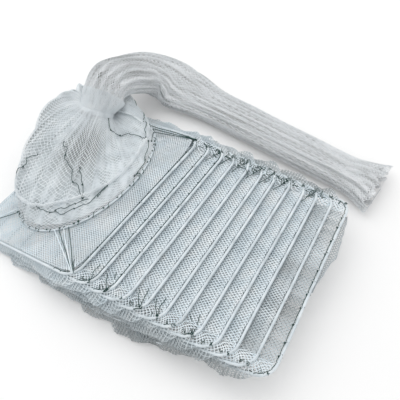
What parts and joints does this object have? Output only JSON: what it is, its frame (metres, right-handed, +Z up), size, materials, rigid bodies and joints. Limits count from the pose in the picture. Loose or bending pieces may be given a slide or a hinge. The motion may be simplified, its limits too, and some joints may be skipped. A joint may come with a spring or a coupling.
{
  "type": "folding fish trap",
  "caption": "Concertina fish trap folded flat: coated wire frames shingled and joined by netting, with an oval hoop, a gathered cone and a long net sleeve laid alongside.",
  "frame": {"origin": "middle of the folded trap's footprint, on the floor", "axes": "+Z up off the floor; +X along the row of frames, from the hoop's end to the closed end; +Y along the frames' rods, towards the sleeve"},
  "size_m": [0.5254, 0.4884, 0.112],
  "materials": {
    "coated_wire": "smooth coating, half gloss",
    "green_twine": "twisted twine, matt",
    "white_netting": "fine knitted netting, matt"
  },
  "bodies": {
    "tail_end": {"tail_hoop": "coated_wire", "hoop_lacing": "green_twine", "throat_net": "white_netting", "cone_net": "white_netting", "tail_sleeve": "white_netting"},
    "frame_01_body": {"frame_01": "coated_wire", "lacing_01": "green_twine", "bay_net_01": "white_netting"},
    "frame_02_body": {"frame_02": "coated_wire", "lacing_02": "green_twine", "bay_net_02": "white_netting"},
    "frame_03_body": {"frame_03": "coated_wire", "lacing_03": "green_twine", "bay_net_03": "white_netting"},
    "frame_04_body": {"frame_04": "coated_wire", "lacing_04": "green_twine", "bay_net_04": "white_netting"},
    "frame_05_body": {"frame_05": "coated_wire", "lacing_05": "green_twine", "bay_net_05": "white_netting"},
    "frame_06_body": {"frame_06": "coated_wire", "lacing_06": "green_twine", "bay_net_06": "white_netting"},
    "frame_07_body": {"frame_07": "coated_wire", "lacing_07": "green_twine", "bay_net_07": "white_netting"},
    "frame_08_body": {"frame_08": "coated_wire", "lacing_08": "green_twine", "bay_net_08": "white_netting"},
    "frame_09_body": {"frame_09": "coated_wire", "lacing_09": "green_twine", "bay_net_09": "white_netting"},
    "frame_10_body": {"frame_10": "coated_wire", "lacing_10": "green_twine", "bay_net_10": "white_netting"},
    "frame_11_body": {"frame_11": "coated_wire", "lacing_11": "green_twine", "bay_net_11": "white_netting"},
    "frame_12_body": {"frame_12": "coated_wire", "lacing_12": "green_twine", "end_net": "white_netting"}
  },
  "joints": [
    {"name": "throat_opens", "type": "slide", "parent": "tail_end", "child": "frame_01_body", "axis": [1, 0, 0], "range_m": [0, 0.174], "deforming": ["throat_net"]},
    {"name": "bay_01_opens", "type": "slide", "parent": "frame_01_body", "child": "frame_02_body", "axis": [1, 0, 0], "range_m": [0, 0.174], "deforming": ["bay_net_01"]},
    {"name": "bay_02_opens", "type": "slide", "parent": "frame_02_body", "child": "frame_03_body", "axis": [1, 0, 0], "range_m": [0, 0.174], "deforming": ["bay_net_02"]},
    {"name": "bay_03_opens", "type": "slide", "parent": "frame_03_body", "child": "frame_04_body", "axis": [1, 0, 0], "range_m": [0, 0.174], "deforming": ["bay_net_03"]},
    {"name": "bay_04_opens", "type": "slide", "parent": "frame_04_body", "child": "frame_05_body", "axis": [1, 0, 0], "range_m": [0, 0.174], "deforming": ["bay_net_04"]},
    {"name": "bay_05_opens", "type": "slide", "parent": "frame_05_body", "child": "frame_06_body", "axis": [1, 0, 0], "range_m": [0, 0.174], "deforming": ["bay_net_05"]},
    {"name": "bay_06_opens", "type": "slide", "parent": "frame_06_body", "child": "frame_07_body", "axis": [1, 0, 0], "range_m": [0, 0.174], "deforming": ["bay_net_06"]},
    {"name": "bay_07_opens", "type": "slide", "parent": "frame_07_body", "child": "frame_08_body", "axis": [1, 0, 0], "range_m": [0, 0.174], "deforming": ["bay_net_07"]},
    {"name": "bay_08_opens", "type": "slide", "parent": "frame_08_body", "child": "frame_09_body", "axis": [1, 0, 0], "range_m": [0, 0.174], "deforming": ["bay_net_08"]},
    {"name": "bay_09_opens", "type": "slide", "parent": "frame_09_body", "child": "frame_10_body", "axis": [1, 0, 0], "range_m": [0, 0.174], "deforming": ["bay_net_09"]},
    {"name": "bay_10_opens", "type": "slide", "parent": "frame_10_body", "child": "frame_11_body", "axis": [1, 0, 0], "range_m": [0, 0.174], "deforming": ["bay_net_10"]},
    {"name": "bay_11_opens", "type": "slide", "parent": "frame_11_body", "child": "frame_12_body", "axis": [1, 0, 0], "range_m": [0, 0.174], "deforming": ["bay_net_11"]}
  ]
}
